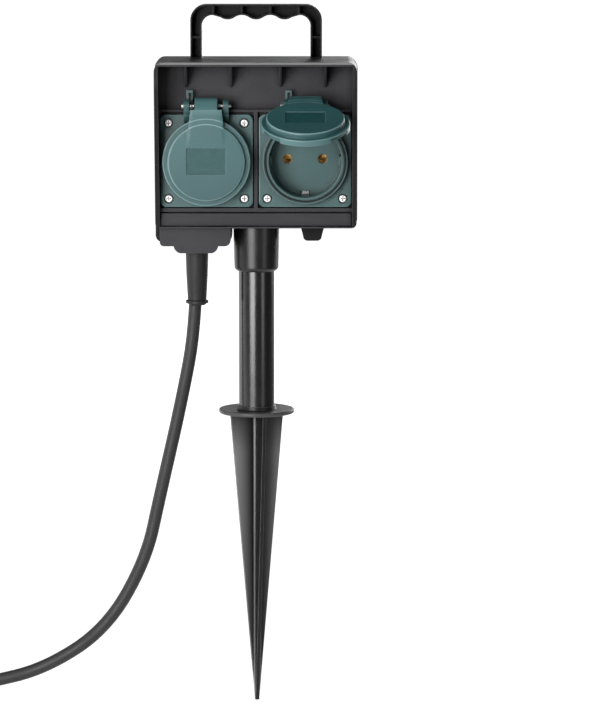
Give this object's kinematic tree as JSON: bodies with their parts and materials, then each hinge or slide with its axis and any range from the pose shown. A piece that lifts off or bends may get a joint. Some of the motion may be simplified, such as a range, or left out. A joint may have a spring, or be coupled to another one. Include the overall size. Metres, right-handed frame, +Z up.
{
  "type": "garden socket spike",
  "caption": "Garden power post: hooded housing with two earthed sockets under sprung lids and a carry handle, on a tube with a cross-bladed ground spike, with its own lead.",
  "frame": {"origin": "centre of the underside of the round ground flange, on the tube's axis, in the plane where the two housing shells meet", "axes": "+Z up along the tube, +X to the right as seen from the socket side, -Y out of the sockets towards the user"},
  "size_m": [0.3619, 0.1126, 0.3838],
  "materials": {
    "shell_plastic": "fine moulded texture, charcoal",
    "cover_plastic": "fine moulded texture, near black",
    "sleeve_plastic": "smooth moulded black",
    "tube_finish": "smooth black coat",
    "spike_plastic": "smooth moulded black",
    "relief_rubber": "matt black",
    "socket_plastic": "smooth satin, grey green",
    "lid_plastic": "smooth satin, grey green",
    "carrier_plastic": "moulded, off white",
    "contact_brass": "bare, pressed",
    "clip_steel": "nickel plated, pressed",
    "seal_rubber": "soft black",
    "pin_steel": "drawn and nickel plated",
    "spring_steel": "bright drawn wire",
    "screw_nickel": "nickel plated",
    "pin_nickel": "nickel plated",
    "cord_sheath": "matt black rubber sheath",
    "tie_plastic": "soft black strip",
    "plug_rubber": "matt black, moulded"
  },
  "bodies": {
    "housing": {"front_shell": "shell_plastic", "rear_cover": "cover_plastic", "pole_sleeve": "sleeve_plastic", "pole_tube": "tube_finish", "ground_spike": "spike_plastic", "strain_relief": "relief_rubber", "socket_screws": "screw_nickel", "cover_screws": "screw_nickel", "mains_cord": "cord_sheath", "cord_coil": "cord_sheath", "cord_tie": "tie_plastic", "plug_body": "plug_rubber", "plug_pins": "pin_nickel", "plug_earth_strips": "clip_steel", "left_socket_body": "socket_plastic", "left_contact_carrier": "carrier_plastic", "left_line_contacts": "contact_brass", "left_earth_clip": "clip_steel", "left_plate_seal": "seal_rubber", "left_collar_gasket": "seal_rubber", "left_hinge_pin": "pin_steel", "left_lid_spring": "spring_steel", "right_socket_body": "socket_plastic", "right_contact_carrier": "carrier_plastic", "right_line_contacts": "contact_brass", "right_earth_clip": "clip_steel", "right_plate_seal": "seal_rubber", "right_collar_gasket": "seal_rubber", "right_hinge_pin": "pin_steel", "right_lid_spring": "spring_steel"},
    "left_lid": {"left_lid": "lid_plastic"},
    "right_lid": {"right_lid": "lid_plastic"}
  },
  "joints": [
    {"name": "left_lid_hinge", "type": "hinge", "parent": "housing", "child": "left_lid", "pos_m": [-0.0265, -0.026, 0.1698], "axis": [-1, 0, 0], "range_deg": [0, 115], "stiffness_Nm_per_rad": 0.02, "springref_deg": -85.94, "deforming": ["left_lid_spring"]},
    {"name": "right_lid_hinge", "type": "hinge", "parent": "housing", "child": "right_lid", "pos_m": [0.0265, -0.026, 0.1698], "axis": [-1, 0, 0], "range_deg": [-70, 45], "stiffness_Nm_per_rad": 0.02, "springref_deg": -155.96, "deforming": ["right_lid_spring"]}
  ]
}
